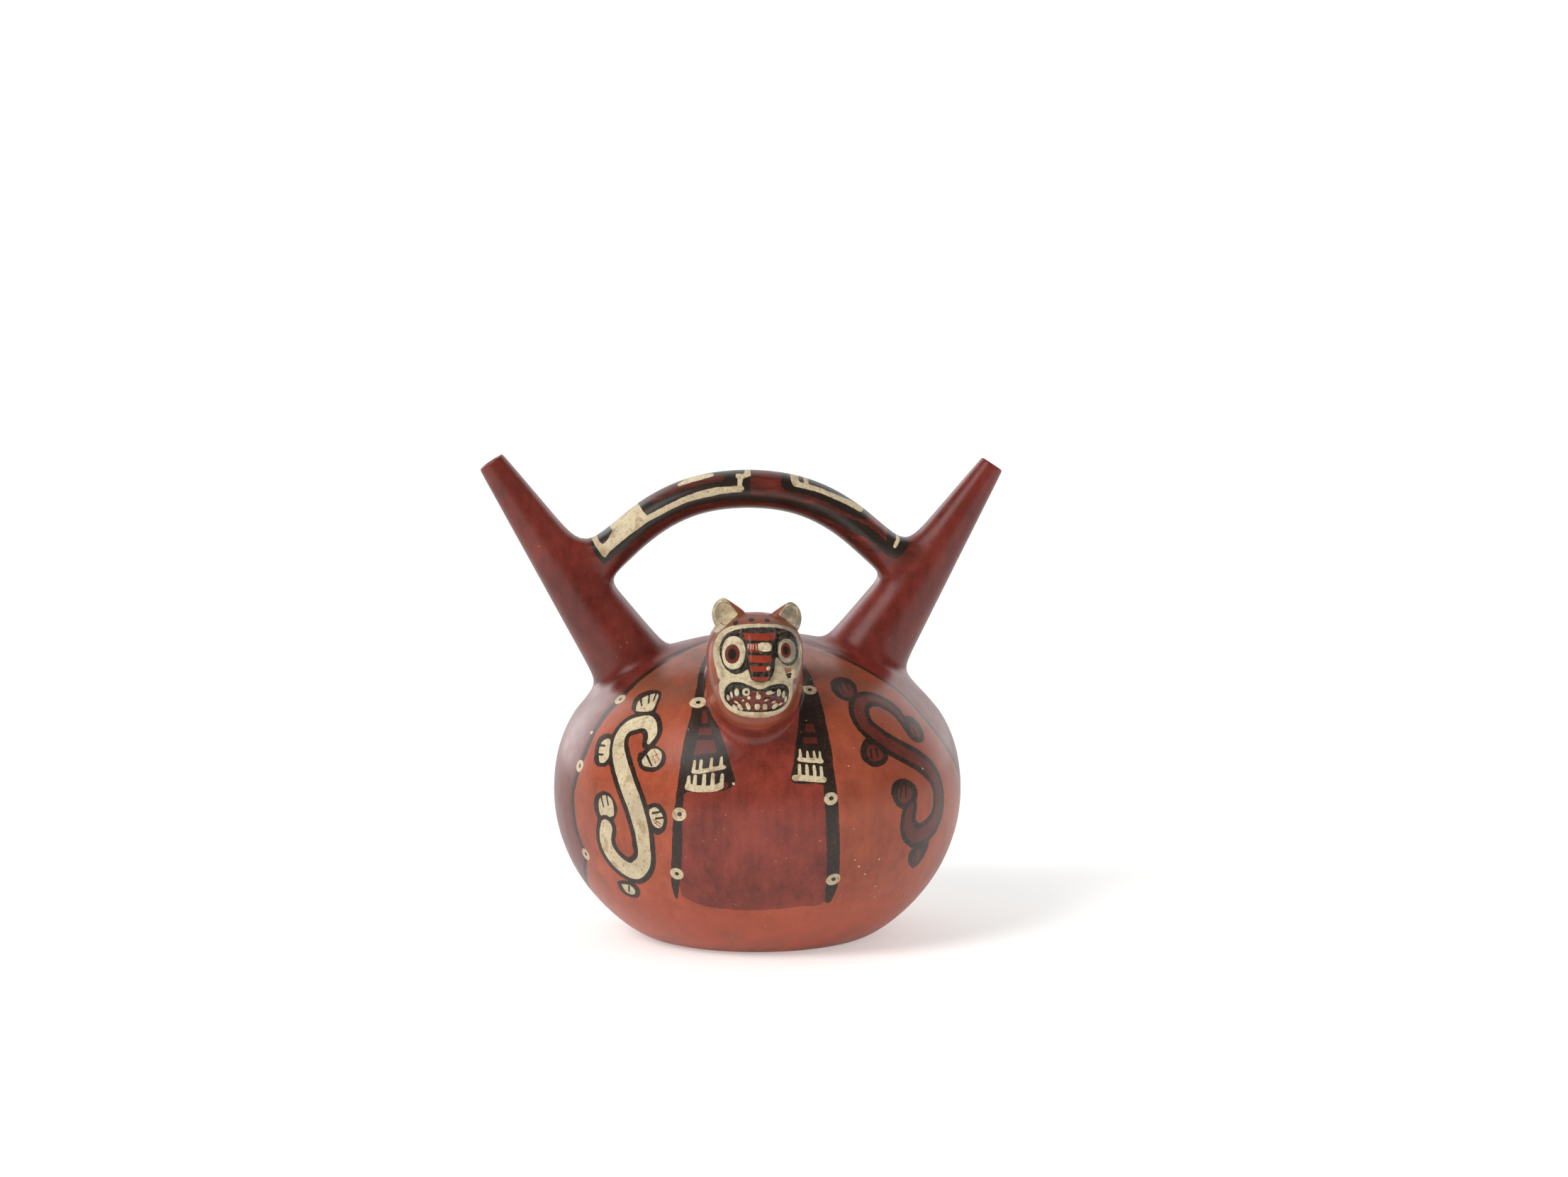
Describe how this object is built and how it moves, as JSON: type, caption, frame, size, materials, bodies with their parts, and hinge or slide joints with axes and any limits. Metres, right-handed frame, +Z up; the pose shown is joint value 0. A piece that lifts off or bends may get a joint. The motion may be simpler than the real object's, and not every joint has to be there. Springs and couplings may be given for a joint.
{
  "type": "bridge-spout vessel",
  "caption": "Round-bodied clay bottle with leaning conical spouts joined by an arched bridge handle and an animal head modelled on the front shoulder, painted in slips.",
  "frame": {"origin": "centre of the flat underside, on the surface it stands on", "axes": "+Z up, -Y towards the modelled head, +X towards the shorter spout"},
  "size_m": [0.1969, 0.1616, 0.1837],
  "materials": {
    "burnished_slip": "burnished painted slip with a soft gloss"
  },
  "bodies": {
    "root": {"vessel": "burnished_slip"}
  },
  "joints": []
}
